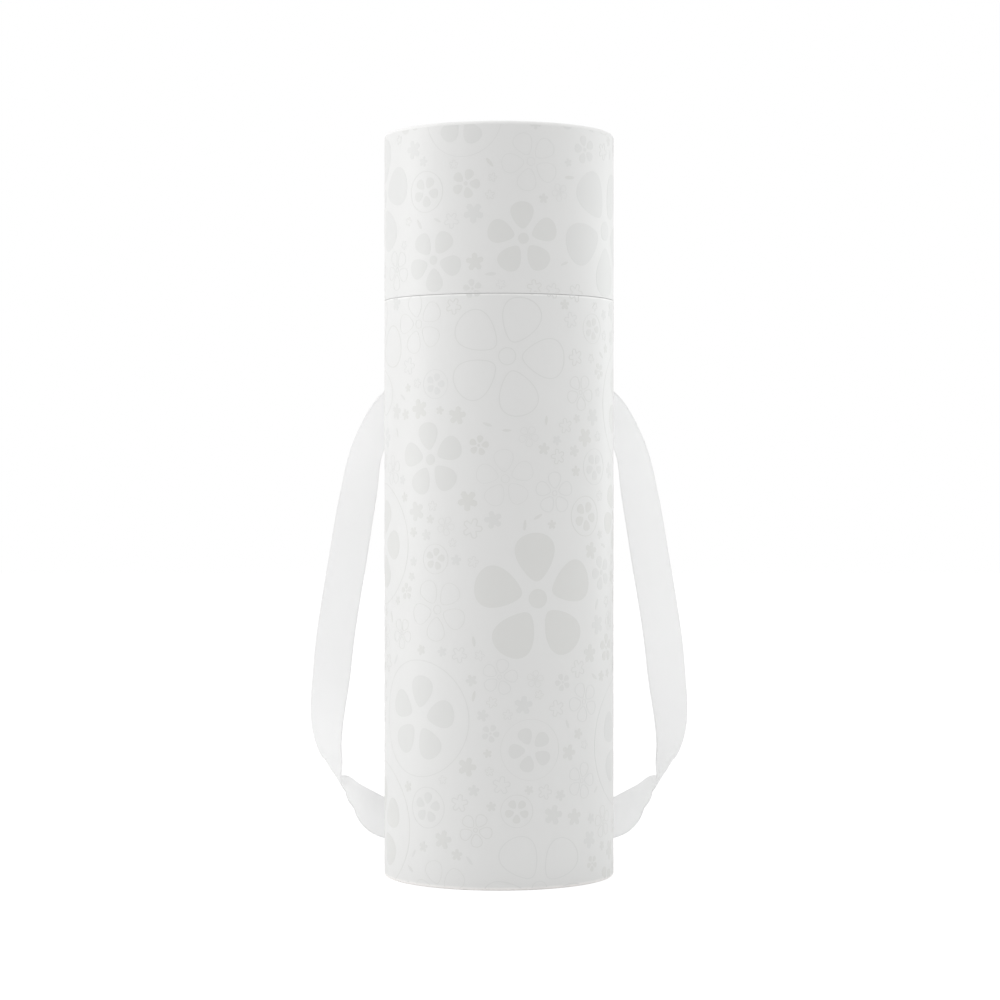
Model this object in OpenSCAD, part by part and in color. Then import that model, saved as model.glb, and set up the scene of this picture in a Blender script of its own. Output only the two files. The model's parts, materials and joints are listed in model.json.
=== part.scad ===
// Round gift tube of wound board with a lift-off lid and two carrying ribbons.
// Millimetres. The origin is the centre of the base, +Z is up, and the ribbons leave the back, +Y.

/* [Tube] */
// Outside diameter of the body and the lid
tube_d = 100; // [80:1:130]
// Thickness of the wound board
wall_t = 1.8; // [1.2:0.1:2.4]
// Height of the body, from the base to the lid's edge
body_h = 250; // [180:1:320]
// Rounding of the board where it is folded at a closed end
edge_r = 1.6; // [0.6:0.1:1.7]
// Height of the hem that is turned in at each closed end
hem_h = 4; // [3:0.5:8]
// Thickness of the round end boards
disc_t = 2; // [1:0.5:3]

/* [Lid] */
// Height of the lid, from its edge to its top
lid_h = 72; // [50:1:100]
// Line of air between the lid's edge and the body when the lid is on
seam_gap = 0.3; // [0.1:0.1:1]

/* [Neck] */
// Thickness of the inner sleeve
neck_t = 1.5; // [1:0.1:2.5]
// Room between the sleeve's top edge and the lid's disc
neck_room = 11; // [4:1:30]
// Clearance round the sleeve, so that the lid slides on it
fit_gap = 0.3; // [0.2:0.1:0.6]

/* [Ribbon] */
// Width of the ribbon
ribbon_w = 17; // [12:1:20]
// Thickness of the ribbon
ribbon_t = 0.5; // [0.3:0.1:0.6]
// How far the middle of the ribbon stands out from the tube's side
loop_out = 26.8; // [18:0.2:40]
// Depth of the upper slit's middle below the body's top edge
top_slit_drop = 30; // [22:1:60]
// Height of the lower slit's middle above the base
low_slit_rise = 17; // [16:1:30]
// Angle of the upper slit from the middle of the back
top_slit_turn = 30; // [22:1:40]
// Angle of the lower slit from the middle of the back
low_slit_turn = 42; // [34:1:50]
// Slope of the ribbon, below level, where it leaves the upper slit
top_fall = 38; // [25:1:45]
// Slope of the ribbon, below level, where it enters the lower slit
low_fall = 15; // [5:1:20]
// Length of the ribbon's end that is glued behind the wall
tab_l = 10; // [6:1:12]
// Clearance round the ribbon in its slits and pressed seats
slit_clear = 0.3; // [0.2:0.1:0.5]

/* [Hidden] */
$fn = 128;

tube_r = tube_d / 2;
inner_r = tube_r - wall_t;
neck_r = inner_r - fit_gap;
disc_r = inner_r - fit_gap;
lid_z = body_h + seam_gap;
top_z = lid_z + lid_h;
base_disc_z = hem_h;
lid_disc_z = top_z - hem_h - disc_t;
neck_foot_z = base_disc_z + disc_t;
neck_top_z = lid_disc_z - neck_room;

// Play between the hem and the wall it is folded against
hem_gap = 0.3;
// The fold's rounding, always with a flat ring left to stand on, and the rounding of a cut edge
fold_r = min(edge_r, 0.45 * (2 * wall_t + hem_gap));
cut_r = fold_r / 4;
// Points in a quarter of a rounded edge
arc_steps = 4;
// Reach of a cut past the face it opens
past = 0.01;

// Ribbon against the wall: centre line outside the wall, and behind it
ribbon_air = 0.3;
outside_r = tube_r + ribbon_t / 2 + ribbon_air;
behind_r = neck_r + ribbon_t / 2 + 0.1;
// Way along the ribbon in which it passes through the wall
pass_l = 2.6;
top_slit_z = body_h - top_slit_drop;
low_slit_z = low_slit_rise;

// Free part of the ribbon, from the upper to the lower slit. Each row holds the reach out from the
// tube's side as a share of loop_out, the place behind the axis as a share of the radius, the
// height between the slits as a share of their distance, and the twist from facing front.
loop_rows = [
    [0.00, 0.58, 0.911, -28],
    [0.333, 0.52, 0.828, -32],
    [0.50, 0.48, 0.710, -16],
    [0.704, 0.44, 0.551, -4],
    [0.90, 0.42, 0.363, 7],
    [0.977, 0.41, 0.216, 33],
    [0.936, 0.41, 0.174, 52],
    [0.839, 0.41, 0.130, 71],
    [0.739, 0.42, 0.109, 96],
    [0.475, 0.45, 0.069, 118],
    [0.115, 0.54, 0.023, 160]
];
// Sections between two rows, through the wall, and along a glued end
row_steps = 6;
pass_steps = 6;
tab_steps = 3;

function unit(v) = v / norm(v);
function place(row) = [row[0], row[1], row[2]];

// Quarter of a rounded edge of radius r round [x, z], from angle a by a quarter turn
function edge_arc(x, z, r, a, turn = 1) =
    [for (i = [0 : arc_steps]) [x + r * cos(a + turn * i * 90 / arc_steps),
                                z + r * sin(a + turn * i * 90 / arc_steps)]];

// Outline of a wall of height h whose foot is turned in as a hem
function hemmed_wall(h) =
    let (lip_r = inner_r - hem_gap - wall_t)
    concat(
        [[lip_r, hem_h]],
        edge_arc(lip_r + fold_r, fold_r, fold_r, 180),
        edge_arc(tube_r - fold_r, fold_r, fold_r, 270),
        edge_arc(tube_r - cut_r, h - cut_r, cut_r, 0),
        [[inner_r, h], [inner_r, wall_t], [inner_r - hem_gap, wall_t], [inner_r - hem_gap, hem_h]]
    );

// Twist that lays the ribbon flat on the wall at a slit
function slit_twist(turn, fall) = atan(tan(turn) * sin(fall));

// Section of the ribbon at the way a behind a slit's mouth: middle, direction out, width direction
function slit_ring(turn, z, fall, a) =
    let (
        share = min(1, a / pass_l),
        phi = turn - a * cos(fall) / tube_r * 180 / PI,
        r = outside_r - (outside_r - behind_r) * share * share * (3 - 2 * share),
        rise = (outside_r - behind_r) * 6 * share * (1 - share) / pass_l,
        normal = [sin(phi), cos(phi), 0],
        along = [cos(phi) * cos(fall), -sin(phi) * cos(fall), -sin(fall)]
    )
    [[r * sin(phi), r * cos(phi), z + a * sin(fall)],
     unit(along + rise * normal),
     unit(cross(normal, along))];

function slit_ways() = concat(
    [for (i = [1 : pass_steps]) pass_l * i / pass_steps],
    [for (i = [1 : tab_steps]) pass_l + tab_l * i / tab_steps]);

// Rows of the free part in millimetres, with the two slit mouths at its ends
top_mouth = slit_ring(top_slit_turn, top_slit_z, top_fall, 0);
low_mouth = slit_ring(low_slit_turn, low_slit_z, -low_fall, 0);
free_rows = concat(
    [[each top_mouth[0], -slit_twist(top_slit_turn, top_fall)]],
    [for (row = loop_rows) [
        tube_r + loop_out * row[0],
        tube_r * row[1],
        low_slit_z + (top_slit_z - low_slit_z) * row[2],
        row[3]]],
    [[each low_mouth[0], 180 - slit_twist(low_slit_turn, low_fall)]]);
last_row = len(free_rows) - 1;

function chord(i) = norm(place(free_rows[i + 1]) - place(free_rows[i]));

// Slope of position and twist at row i, per millimetre of ribbon
function slope(i) =
    i == 0 ? [each top_mouth[1], 0] :
    i == last_row ? [each -low_mouth[1], 0] :
    let (before = chord(i - 1), after = chord(i))
    ((free_rows[i] - free_rows[i - 1]) * after / before
        + (free_rows[i + 1] - free_rows[i]) * before / after) / (before + after);

// Section of the free part, at the share u of the way from row i to the next
function free_ring(i, u) =
    let (
        h = chord(i), p = free_rows[i], q = free_rows[i + 1], m = slope(i) * h, n = slope(i + 1) * h,
        at = p * (2 * u ^ 3 - 3 * u ^ 2 + 1) + m * (u ^ 3 - 2 * u ^ 2 + u)
            + q * (3 * u ^ 2 - 2 * u ^ 3) + n * (u ^ 3 - u ^ 2),
        go = p * (6 * u ^ 2 - 6 * u) + m * (3 * u ^ 2 - 4 * u + 1)
            + q * (6 * u - 6 * u ^ 2) + n * (3 * u ^ 2 - 2 * u),
        along = unit(place(go)),
        flat = unit(cross([0, 1, 0], along)),
        face = cross(along, flat)
    )
    [place(at), along, flat * cos(at[3]) - face * sin(at[3])];

ribbon_rings = concat(
    [for (i = [len(slit_ways()) - 1 : -1 : 0])
        slit_ring(top_slit_turn, top_slit_z, top_fall, slit_ways()[i])],
    [for (i = [0 : last_row - 1], k = [0 : row_steps - 1]) free_ring(i, k / row_steps)],
    [free_ring(last_row - 1, 1)],
    [for (a = slit_ways())
        let (ring = slit_ring(low_slit_turn, low_slit_z, -low_fall, a)) [ring[0], -ring[1], ring[2]]]);

// The right ribbon as one solid: four corners for each section, in order along the ribbon. Where it
// twists, its two faces are split along the same diagonal, so that they stay one thickness apart
module ribbon() {
    corners = [for (ring = ribbon_rings)
        let (w = ring[2] * ribbon_w / 2, t = cross(ring[1], ring[2]) * ribbon_t / 2)
        each [ring[0] + w + t, ring[0] - w + t, ring[0] - w - t, ring[0] + w - t]];
    last = len(ribbon_rings) - 1;
    sides = [for (i = [0 : last - 1], k = [0 : 3])
        let (a = 4 * i + k, b = 4 * i + (k + 1) % 4)
        each k == 2 ? [[a, a + 4, b + 4], [a, b + 4, b]] : [[a, a + 4, b], [b, a + 4, b + 4]]];
    ends = [[0, 1, 2], [0, 2, 3], [4 * last, 4 * last + 2, 4 * last + 1], [4 * last, 4 * last + 3, 4 * last + 2]];
    polyhedron(points = corners, faces = concat(sides, ends), convexity = 6);
}

// Places children at a slit's mouth on the axis, +X out along the ribbon and +Y out of the wall
module at_slit(turn, z, fall) {
    translate([0, 0, z]) rotate([0, 0, -turn]) rotate([0, fall, 0]) children();
}

// Cut for one ribbon end: the slit through the wall and the pressed seat behind it
module slit_cut(turn, z, fall) {
    high = ribbon_w + 2 * slit_clear;
    seat_l = pass_l + tab_l + slit_clear;
    seat_r = norm([behind_r + ribbon_t / 2, ribbon_w / 2 * sin(abs(fall))]) + slit_clear / 3;
    at_slit(turn, z, fall)
        translate([-pass_l - slit_clear, behind_r, -high / 2])
            cube([pass_l + 2 * slit_clear, tube_r, high]);
    intersection() {
        translate([0, 0, z - ribbon_w]) cylinder(r = seat_r, h = 2 * ribbon_w);
        at_slit(turn, z, fall) translate([-seat_l, behind_r / 2, -high / 2]) cube([seat_l, tube_r, high]);
    }
}

module slit_cuts() {
    for (side = [0, 1]) mirror([side, 0, 0]) {
        slit_cut(top_slit_turn, top_slit_z, top_fall);
        slit_cut(low_slit_turn, low_slit_z, -low_fall);
    }
}

module body_tube() {
    color("#e9e8e4") difference() {
        rotate_extrude() polygon(hemmed_wall(body_h));
        slit_cuts();
    }
}

module base_disc() {
    color("#dcd8cf") translate([0, 0, base_disc_z]) cylinder(r = disc_r, h = disc_t);
}

module neck_tube() {
    color("#f2f1ee") translate([0, 0, neck_foot_z]) difference() {
        cylinder(r = neck_r, h = neck_top_z - neck_foot_z);
        translate([0, 0, -past]) cylinder(r = neck_r - neck_t, h = neck_top_z - neck_foot_z + 2 * past);
    }
}

module strap_right() {
    color("#f4f4f4") ribbon();
}

module strap_left() {
    color("#f4f4f4") mirror([1, 0, 0]) ribbon();
}

module lid_tube() {
    color("#e9e8e4") translate([0, 0, top_z]) mirror([0, 0, 1])
        rotate_extrude() polygon(hemmed_wall(lid_h));
}

module lid_disc() {
    color("#dcd8cf") translate([0, 0, lid_disc_z]) cylinder(r = disc_r, h = disc_t);
}

body_tube();
base_disc();
neck_tube();
strap_left();
strap_right();
lid_tube();
lid_disc();
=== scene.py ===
# %% [markdown]
# A paper gift tube with two ribbons
#
# The object is a tall tube of wound board, closed by a lift-off lid that slides on an inner sleeve.
# A printed paper wrap covers it, and a satin ribbon hangs in a loop on each side. The solids come
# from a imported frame, in metres, and every piece made here is laid in that same frame. The cells
# below are run from top to bottom, and each one prints what it made.

# %% Load the frame
import json
import math
import random

import bmesh
import bpy
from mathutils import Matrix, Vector

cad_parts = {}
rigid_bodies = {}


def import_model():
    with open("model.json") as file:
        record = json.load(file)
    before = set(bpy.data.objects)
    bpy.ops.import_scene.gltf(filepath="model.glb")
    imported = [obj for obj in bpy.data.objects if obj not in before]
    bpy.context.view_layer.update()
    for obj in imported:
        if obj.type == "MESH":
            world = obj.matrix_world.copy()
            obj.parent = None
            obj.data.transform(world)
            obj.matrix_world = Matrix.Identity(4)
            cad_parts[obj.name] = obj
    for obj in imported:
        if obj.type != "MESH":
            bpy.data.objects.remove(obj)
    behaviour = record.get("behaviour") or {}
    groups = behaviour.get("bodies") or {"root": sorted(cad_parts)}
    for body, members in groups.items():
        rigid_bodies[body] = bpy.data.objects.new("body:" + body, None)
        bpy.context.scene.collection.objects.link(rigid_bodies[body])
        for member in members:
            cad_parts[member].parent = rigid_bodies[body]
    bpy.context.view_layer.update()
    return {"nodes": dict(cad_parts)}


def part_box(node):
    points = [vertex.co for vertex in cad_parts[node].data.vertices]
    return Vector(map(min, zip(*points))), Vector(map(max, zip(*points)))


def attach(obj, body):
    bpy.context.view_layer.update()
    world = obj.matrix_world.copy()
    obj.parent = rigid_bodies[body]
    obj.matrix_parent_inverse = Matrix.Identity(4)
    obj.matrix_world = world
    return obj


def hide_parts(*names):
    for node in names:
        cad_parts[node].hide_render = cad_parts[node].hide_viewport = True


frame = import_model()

print("nodes:", sorted(frame["nodes"]))

# %% [markdown]
# The tube's own sizes can be read from the boxes of its solids, so nothing has to be fitted by eye:
# the outer radius, the heights of the body and the lid, and the radius of the sleeve inside. The few
# sizes that no box shows, such as the board's folded edge, are named here once.

# %% Sizes in metres
MM = 0.001

body_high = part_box("body_tube")[1]
lid_low, lid_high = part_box("lid_tube")
neck_low, neck_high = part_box("neck_tube")
tube_r = body_high.x
neck_r = neck_high.x
fit_gap = 0.3 * MM
wall_t = tube_r - neck_r - fit_gap
hem_h = 4 * MM
hem_gap = 0.3 * MM
rim_r = 1.6 * MM
foot_r = 1.0 * MM
cut_edge_r = 0.25 * MM
seam_close = 0.22 * MM
neck_t = 1.5 * MM
board_edge_r = 0.3 * MM
board_dish = 0.35 * MM
round_steps = 256
weld_gap = 0.002 * MM
print(f"tube radius {tube_r / MM:.1f} mm, body {body_high.z / MM:.0f} mm high")

# %% [markdown]
# Meshes, objects, materials and node trees are made in the same few ways all through the lesson, so
# those ways are written down once.

# %% Helpers for meshes and node trees


def mesh_from(name, points, faces):
    mesh = bpy.data.meshes.new(name)
    mesh.from_pydata(points, [], faces)
    mesh.update()
    return mesh


def join_parts(parts):
    points, faces = [], []
    for part_points, part_faces in parts:
        base = len(points)
        points += part_points
        faces += [tuple(base + k for k in face) for face in part_faces]
    return points, faces


def face_outwards(mesh):
    work = bmesh.new()
    work.from_mesh(mesh)
    bmesh.ops.recalc_face_normals(work, faces=work.faces)
    work.to_mesh(mesh)
    work.free()


def new_object(name, mesh, material=None):
    piece = bpy.data.objects.new(name, mesh)
    scene.collection.objects.link(piece)
    if material:
        mesh.materials.clear()
        mesh.materials.append(material)
    return piece


def new_material(name):
    material = bpy.data.materials.new(name)
    material.use_nodes = True
    material.node_tree.nodes.clear()
    return material


def link_chain(tree, *pairs):
    for start, end in pairs:
        tree.links.new(start, end)


def feed(tree, socket, value):
    """Type a number or a tuple into a socket, or link anything else to it."""
    if isinstance(value, (int, float, tuple)):
        socket.default_value = value
    elif value is not None:
        tree.links.new(value, socket)


def math_node(tree, operation, a, b=None, c=None, clamp=False):
    node = tree.nodes.new("ShaderNodeMath")
    node.operation = operation
    node.use_clamp = clamp
    for socket, value in zip(node.inputs, (a, b, c)):
        feed(tree, socket, value)
    return node.outputs[0]


scene = bpy.context.scene
print("the helpers work in", scene.name)

# %% [markdown]
# The camera comes first. It stands about 1.15 m from the tube's axis, a little below the middle
# of the tube, and looks almost level, which is why both the top and the base show only as gentle
# curves. A long lens keeps the sides upright.

# %% Camera
photo_side_px = 1000
focal_px = 2631
eye_distance = 1.15
eye_height = 0.1686
horizon_px = 488
centre_px = 499

camera_data = bpy.data.cameras.new("camera")
camera_data.sensor_width = 36
camera_data.lens = camera_data.sensor_width * focal_px / photo_side_px
camera = bpy.data.objects.new("camera", camera_data)
scene.collection.objects.link(camera)
pitch = math.atan((photo_side_px / 2 - horizon_px) / focal_px)
side_step = (photo_side_px / 2 - centre_px) * eye_distance / focal_px
camera.location = (side_step, -eye_distance, eye_height)
camera.rotation_euler = (math.pi / 2 - pitch, 0, 0)
scene.camera = camera
scene.view_settings.view_transform = "Standard"
print(f"lens {camera_data.lens:.1f} mm, pitch {math.degrees(pitch):.2f} degrees down")

# %% [markdown]
# White paper shows its shape only by soft light that falls off round it. A large panel on the left
# gives the bright left side, two small ones on the right lift the far edge, and a white world fills
# the rest. Rays from the camera see that world as plain white, and so do mirror-like reflections, so
# the background stays white without more light on the paper.

# %% Lights and background
world_level = 0.95
white_light = (1.0, 1.0, 1.0)
cool_light = (0.97, 1.0, 0.995)
tube_middle = (0, 0, lid_high.z / 2)
# Name, place, aim, size, power in watts and colour
panels = [
    ("key_left", (-1.3, 0, 0.4), tube_middle, (0.8, 1.6), 8.2, white_light),
    ("fill_right", (0.6, 0.05, 0.4), (0, 0, 0.4), (0.35, 0.3), 0.45, cool_light),
    ("edge_right", (0.49, 0.345, 0.25), (0, 0, 0.25), (0.35, 0.3), 0.42, cool_light),
]

world = bpy.data.worlds.new("white studio")
scene.world = world
world.use_nodes = True
tree = world.node_tree
background = tree.nodes["Background"]
background.inputs["Color"].default_value = (1, 1, 1, 1)
rays = tree.nodes.new("ShaderNodeLightPath").outputs
mirrored = math_node(tree, "MAXIMUM", rays["Is Camera Ray"], rays["Is Glossy Ray"])
seen = math_node(tree, "MAXIMUM", mirrored, rays["Is Transmission Ray"])
level = tree.nodes.new("ShaderNodeMapRange")
level.inputs["To Min"].default_value = world_level
level.inputs["To Max"].default_value = 1.0
link_chain(
    tree,
    (seen, level.inputs["Value"]),
    (level.outputs["Result"], background.inputs["Strength"]),
)

for name, place, aim, size, power, colour in panels:
    light = bpy.data.lights.new(name, "AREA")
    light.shape = "RECTANGLE"
    light.size, light.size_y = size
    light.energy = power
    light.color = colour
    panel = bpy.data.objects.new(name, light)
    scene.collection.objects.link(panel)
    panel.location = place
    panel.rotation_euler = (Vector(aim) - Vector(place)).to_track_quat("-Z", "Y").to_euler()
print("world level", world_level, "and", len(panels), "panels")

# %% [markdown]
# The floor is a plain pale sheet. Its camera colour is mostly a flat white with a share of the true
# diffuse light, so the sheet melts into the background and the tube still keeps its soft shadow.

# %% Floor
floor_reach = 4.0
floor_white = 0.9
glow_level = 1.15
shadow_share = 0.22

floor_material = new_material("studio floor")
tree = floor_material.node_tree
out = tree.nodes.new("ShaderNodeOutputMaterial")
diffuse = tree.nodes.new("ShaderNodeBsdfDiffuse")
diffuse.inputs["Color"].default_value = (floor_white, floor_white, floor_white, 1)
glow = tree.nodes.new("ShaderNodeEmission")
glow.inputs["Color"].default_value = (1, 1, 1, 1)
glow.inputs["Strength"].default_value = glow_level
rays = tree.nodes.new("ShaderNodeLightPath").outputs
mix = tree.nodes.new("ShaderNodeMixShader")
link_chain(
    tree,
    (math_node(tree, "MULTIPLY", rays["Is Camera Ray"], 1 - shadow_share), mix.inputs[0]),
    (diffuse.outputs[0], mix.inputs[1]),
    (glow.outputs[0], mix.inputs[2]),
    (mix.outputs[0], out.inputs["Surface"]),
)
corners = [(x * floor_reach, y * floor_reach, 0) for x, y in ((-1, -1), (1, -1), (1, 1), (-1, 1))]
floor = new_object("floor", mesh_from("floor", corners, [(0, 1, 2, 3)]), floor_material)
print("floor", floor_reach * 2, "m wide")

# %% [markdown]
# The papers share one look: the fibres of the sheet show as a very fine relief and as a faint
# cloudiness. That is built once as a node group, which puts out a tone and a normal, and each
# material sets its own amounts. A second group draws the winding line of board that is wound in a
# spiral, and a third marks patchy bands at given heights, where the wrap gets painted light.

# %% Shader group: paper grain
fibre_scale, cloud_scale, wave_scale = 2600, 55, 26
fibre_depth, wave_depth = 0.03 * MM, 0.4 * MM
fibre_share = 0.35


def new_group(name, inputs, outputs):
    group = bpy.data.node_groups.new(name, "ShaderNodeTree")
    for label, value in inputs.items():
        kind = "NodeSocketVector" if isinstance(value, tuple) else "NodeSocketFloat"
        group.interface.new_socket(label, in_out="INPUT", socket_type=kind).default_value = value
    for label, kind in outputs.items():
        group.interface.new_socket(label, in_out="OUTPUT", socket_type=kind)
    return group, group.nodes.new("NodeGroupInput"), group.nodes.new("NodeGroupOutput")


def noise_node(tree, vector, scale, detail, roughness):
    node = tree.nodes.new("ShaderNodeTexNoise")
    values = {"Vector": vector, "Scale": scale, "Detail": detail, "Roughness": roughness}
    for label, value in values.items():
        feed(tree, node.inputs[label], value)
    return node.outputs[0]


def bump_node(tree, height, strength, depth, normal=None):
    """A relief of a depth in metres, laid over another normal where there is one."""
    node = tree.nodes.new("ShaderNodeBump")
    values = {"Distance": depth, "Height": height, "Strength": strength, "Normal": normal}
    for label, value in values.items():
        feed(tree, node.inputs[label], value)
    return node.outputs[0]


paper_grain, grain_in, grain_out = new_group(
    "paper grain",
    {"Vector": (0.0, 0.0, 0.0), "Cloud": 0.02, "Relief": 0.1, "Waviness": 0.1},
    {"Tone": "NodeSocketFloat", "Normal": "NodeSocketVector"},
)
place = grain_in.outputs["Vector"]
fibre = noise_node(paper_grain, place, fibre_scale, 3, 0.6)
cloud = noise_node(paper_grain, place, cloud_scale, 3, 0.55)
wave = noise_node(paper_grain, place, wave_scale, 1, 0.4)
clouded = math_node(paper_grain, "MULTIPLY", cloud, 1 - fibre_share)
speck = math_node(paper_grain, "MULTIPLY_ADD", fibre, fibre_share, clouded)
centred = math_node(paper_grain, "SUBTRACT", speck, 0.5)
waves = bump_node(paper_grain, wave, grain_in.outputs["Waviness"], wave_depth)
link_chain(
    paper_grain,
    (math_node(paper_grain, "MULTIPLY_ADD", centred, grain_in.outputs["Cloud"], 1.0),
     grain_out.inputs["Tone"]),
    (bump_node(paper_grain, fibre, grain_in.outputs["Relief"], fibre_depth, waves),
     grain_out.inputs["Normal"]),
)
print("group:", paper_grain.name)

# %% Shader group: winding line
winding, winding_in, winding_out = new_group(
    "winding line",
    {"Vector": (0.0, 0.0, 0.0), "Pitch": 0.07, "Width": 0.01},
    {"Mask": "NodeSocketFloat"},
)
split = winding.nodes.new("ShaderNodeSeparateXYZ")
winding.links.new(winding_in.outputs["Vector"], split.inputs[0])
angle = math_node(winding, "ARCTAN2", split.outputs["Y"], split.outputs["X"])
turn = math_node(winding, "DIVIDE", angle, 2 * math.pi)
climb = math_node(winding, "DIVIDE", split.outputs["Z"], winding_in.outputs["Pitch"])
phase = math_node(winding, "FRACT", math_node(winding, "ADD", climb, turn))
from_line = math_node(winding, "ABSOLUTE", math_node(winding, "SUBTRACT", phase, 0.5))
mask = math_node(winding, "LESS_THAN", from_line, winding_in.outputs["Width"])
winding.links.new(mask, winding_out.inputs["Mask"])
print("group:", winding.name)

# %% Shader group: painted light along an edge
# A patchy band near a given height, where painted highlight or painted floor light is laid
light_patch_scale, light_patch_contrast = 160, 1.6

painted_light, painted_light_in, painted_light_out = new_group(
    "rubbed edge",
    {"Vector": (0.0, 0.0, 0.0), "Height": 0.0, "Reach": 0.001, "Cover": -0.3},
    {"Mask": "NodeSocketFloat"},
)
given = painted_light_in.outputs
split = painted_light.nodes.new("ShaderNodeSeparateXYZ")
painted_light.links.new(given["Vector"], split.inputs[0])
patchy = noise_node(painted_light, given["Vector"], light_patch_scale, 4, 0.6)
patches = math_node(painted_light, "MULTIPLY_ADD", patchy, light_patch_contrast, given["Cover"], clamp=True)
away = math_node(painted_light, "ABSOLUTE", math_node(painted_light, "SUBTRACT", split.outputs["Z"], given["Height"]))
faded = math_node(painted_light, "DIVIDE", away, given["Reach"])
near = math_node(painted_light, "SUBTRACT", 1.0, faded, clamp=True)
painted_light.links.new(math_node(painted_light, "MULTIPLY", near, patches), painted_light_out.inputs["Mask"])
print("group:", painted_light.name)

# %% [markdown]
# The wrap is a white paper with a smooth matt coat. Seen along the surface it still mirrors some of
# the white studio, which brightens both sides of the tube. At the top and the seam its edges carry
# a painted highlight in patches, and at the foot a painted light from the floor, slightly warm
# where the board starts to show.

# %% Materials: printed wrap, end board, inner board
wrap_colour = (0.682, 0.682, 0.675)
# Foot colour: painted floor light, slightly warm where board shows. Edge colour: painted highlight.
foot_floor_light_colour = (0.93, 0.90, 0.875)
edge_highlight_colour = (0.87, 0.87, 0.86)
end_colour = (0.70, 0.70, 0.685)
sleeve_colour = (0.73, 0.72, 0.69)
line_colour = (0.58, 0.56, 0.52)
line_pitch = 0.085
line_share = 0.0035
end_light_reach = 1.7 * MM
seam_light_reach = 0.5 * MM


def principled(material, roughness, specular):
    nodes = material.node_tree.nodes
    shader = nodes.new("ShaderNodeBsdfPrincipled")
    shader.inputs["Roughness"].default_value = roughness
    shader.inputs["Specular IOR Level"].default_value = specular
    out = nodes.new("ShaderNodeOutputMaterial")
    material.node_tree.links.new(shader.outputs[0], out.inputs["Surface"])
    return shader


def place_group(tree, group, **values):
    node = tree.nodes.new("ShaderNodeGroup")
    node.node_tree = group
    for label, value in values.items():
        feed(tree, node.inputs[label], value)
    return node


def mix_colour(tree, factor, a, b):
    node = tree.nodes.new("ShaderNodeMix")
    node.data_type = "RGBA"
    feed(tree, node.inputs[0], factor)
    for socket, colour in ((node.inputs[6], a), (node.inputs[7], b)):
        feed(tree, socket, (*colour, 1) if isinstance(colour, tuple) else colour)
    return node.outputs[2]


def toned(tree, colour, tone):
    scaled = tree.nodes.new("ShaderNodeVectorMath")
    scaled.operation = "SCALE"
    feed(tree, scaled.inputs[0], colour)
    feed(tree, scaled.inputs["Scale"], tone)
    return scaled.outputs[0]


def paper_material(name, roughness, specular, paint, **amounts):
    """A material with the paper's grain; paint gives its colour for a tree and a place."""
    material = new_material(name)
    tree = material.node_tree
    shader = principled(material, roughness, specular)
    place = tree.nodes.new("ShaderNodeTexCoord").outputs["Object"]
    grain = place_group(tree, paper_grain, Vector=place, **amounts)
    link_chain(
        tree,
        (toned(tree, paint(tree, place), grain.outputs["Tone"]), shader.inputs["Base Color"]),
        (grain.outputs["Normal"], shader.inputs["Normal"]),
    )
    print("material:", material.name)
    return material


def paint_wrap(tree, place):
    # Painted highlight in patches at the top rim and below the seam; painted floor light at the foot
    edges = ((lid_high.z, end_light_reach, 0.2), (body_high.z - seam_light_reach, seam_light_reach, -0.35), (0.0, end_light_reach, 0.2))
    top, seam, foot = (
        place_group(tree, painted_light, Vector=place, Height=height, Reach=reach, Cover=cover).outputs["Mask"]
        for height, reach, cover in edges)
    paper = mix_colour(tree, math_node(tree, "MAXIMUM", top, seam), wrap_colour, edge_highlight_colour)
    return mix_colour(tree, foot, paper, foot_floor_light_colour)


def paint_end(tree, place):
    return end_colour


def paint_sleeve(tree, place):
    line = place_group(tree, winding, Vector=place, Pitch=line_pitch, Width=line_share)
    return mix_colour(tree, line.outputs["Mask"], sleeve_colour, line_colour)


wrap = paper_material("printed wrap", 0.45, 0.5, paint_wrap, Cloud=0.03, Relief=0.12, Waviness=0.10)
end_paper = paper_material("end board paper", 0.6, 0.4, paint_end,
                           Cloud=0.06, Relief=0.25, Waviness=0.25)
inner_paper = paper_material("inner sleeve paper", 0.7, 0.35, paint_sleeve,
                             Cloud=0.08, Relief=0.35, Waviness=0.2)

# %% [markdown]
# A tube like this is made by rolling a sheet, and it is modelled the same way. Each wall is first a
# flat sheet on the table: x runs round the tube, y is the height and z is the thickness. A small
# Geometry Nodes tree then rolls whatever lies on the table onto the tube, welds the closing line and
# sets the material. The same tree rolls the print later, so ink and paper cannot drift apart.

# %% Geometry Nodes tree: roll a sheet onto the tube


def new_tree(name, inputs):
    tree = bpy.data.node_groups.new(name, "GeometryNodeTree")
    tree.interface.new_socket("Geometry", in_out="INPUT", socket_type="NodeSocketGeometry")
    for label, kind in inputs.items():
        tree.interface.new_socket(label, in_out="INPUT", socket_type=kind)
    tree.interface.new_socket("Geometry", in_out="OUTPUT", socket_type="NodeSocketGeometry")
    return tree, tree.nodes.new("NodeGroupInput"), tree.nodes.new("NodeGroupOutput")


def end_tree(tree, geometry, tree_in, tree_out):
    """Both trees end alike: real faces, in the material that the tree is given."""
    real = tree.nodes.new("GeometryNodeRealizeInstances")
    dressed = tree.nodes.new("GeometryNodeSetMaterial")
    link_chain(
        tree,
        (geometry, real.inputs["Geometry"]),
        (real.outputs[0], dressed.inputs["Geometry"]),
        (tree_in.outputs["Material"], dressed.inputs["Material"]),
        (dressed.outputs[0], tree_out.inputs["Geometry"]),
    )


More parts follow.
